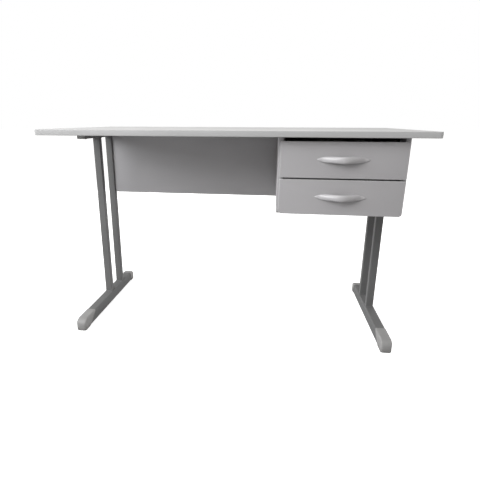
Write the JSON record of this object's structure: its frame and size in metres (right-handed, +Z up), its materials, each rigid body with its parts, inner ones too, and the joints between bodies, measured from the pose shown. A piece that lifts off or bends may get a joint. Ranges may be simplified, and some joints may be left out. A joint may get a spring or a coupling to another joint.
{
  "type": "writing desk with drawers",
  "caption": "Light grey writing desk: rectangular worktop on steel C-shaped leg frames with paired columns, modesty panel, and a hung drawer unit with bow handles.",
  "frame": {"origin": "on the floor under the middle of the worktop", "axes": "+X to the right as the sitter sees it, +Y away from the sitter towards the modesty panel, +Z up"},
  "size_m": [1.214, 0.6, 0.74],
  "materials": {
    "worktop_melamine": "light grey melamine facing, fine texture, satin",
    "edge_plastic": "grey PVC edge strip, satin",
    "front_melamine": "grey melamine facing, fine texture, satin",
    "grey_paint": "grey epoxy powder coat, satin",
    "cap_plastic": "moulded light grey plastic, fine spark texture",
    "handle_plastic": "silver-grey painted moulding, satin",
    "zinc_steel": "zinc plated",
    "drawer_board": "light melamine facing",
    "hardboard": "painted hardboard, matt"
  },
  "bodies": {
    "desk_frame": {"worktop_board": "worktop_melamine", "worktop_edge_strip": "edge_plastic", "left_top_bar": "grey_paint", "left_top_bar_front_plug": "cap_plastic", "left_top_bar_rear_plug": "cap_plastic", "left_front_column": "grey_paint", "left_rear_column": "grey_paint", "left_foot_tube": "grey_paint", "left_foot_front_cap": "cap_plastic", "left_foot_rear_cap": "cap_plastic", "left_worktop_screw_front": "zinc_steel", "left_worktop_screw_rear": "zinc_steel", "right_top_bar": "grey_paint", "right_top_bar_front_plug": "cap_plastic", "right_top_bar_rear_plug": "cap_plastic", "right_front_column": "grey_paint", "right_rear_column": "grey_paint", "right_foot_tube": "grey_paint", "right_foot_front_cap": "cap_plastic", "right_foot_rear_cap": "cap_plastic", "right_worktop_screw_front": "zinc_steel", "right_worktop_screw_rear": "zinc_steel", "modesty_panel": "front_melamine", "modesty_tab_left_lower": "grey_paint", "modesty_tab_left_upper": "grey_paint", "modesty_tab_right_lower": "grey_paint", "modesty_tab_right_upper": "grey_paint", "unit_left_side": "front_melamine", "unit_right_side": "front_melamine", "unit_back": "front_melamine", "unit_bottom": "front_melamine", "unit_bracket_left_front": "zinc_steel", "unit_bracket_left_rear": "zinc_steel", "unit_bracket_right_front": "zinc_steel", "unit_bracket_right_rear": "zinc_steel", "upper_cabinet_slide_left": "zinc_steel", "upper_cabinet_slide_right": "zinc_steel", "lower_cabinet_slide_left": "zinc_steel", "lower_cabinet_slide_right": "zinc_steel"},
    "upper_drawer": {"upper_drawer_front": "front_melamine", "upper_drawer_left_side": "drawer_board", "upper_drawer_right_side": "drawer_board", "upper_drawer_back": "drawer_board", "upper_drawer_bottom": "hardboard", "upper_drawer_handle": "handle_plastic", "upper_handle_screw_left": "zinc_steel", "upper_handle_screw_right": "zinc_steel", "upper_drawer_slide_left": "zinc_steel", "upper_drawer_slide_right": "zinc_steel"},
    "lower_drawer": {"lower_drawer_front": "front_melamine", "lower_drawer_left_side": "drawer_board", "lower_drawer_right_side": "drawer_board", "lower_drawer_back": "drawer_board", "lower_drawer_bottom": "hardboard", "lower_drawer_handle": "handle_plastic", "lower_handle_screw_left": "zinc_steel", "lower_handle_screw_right": "zinc_steel", "lower_drawer_slide_left": "zinc_steel", "lower_drawer_slide_right": "zinc_steel"}
  },
  "joints": [
    {"name": "upper_drawer_slide", "type": "slide", "parent": "desk_frame", "child": "upper_drawer", "axis": [0, -1, 0], "range_m": [0, 0.26]},
    {"name": "lower_drawer_slide", "type": "slide", "parent": "desk_frame", "child": "lower_drawer", "axis": [0, -1, 0], "range_m": [0, 0.26]}
  ]
}
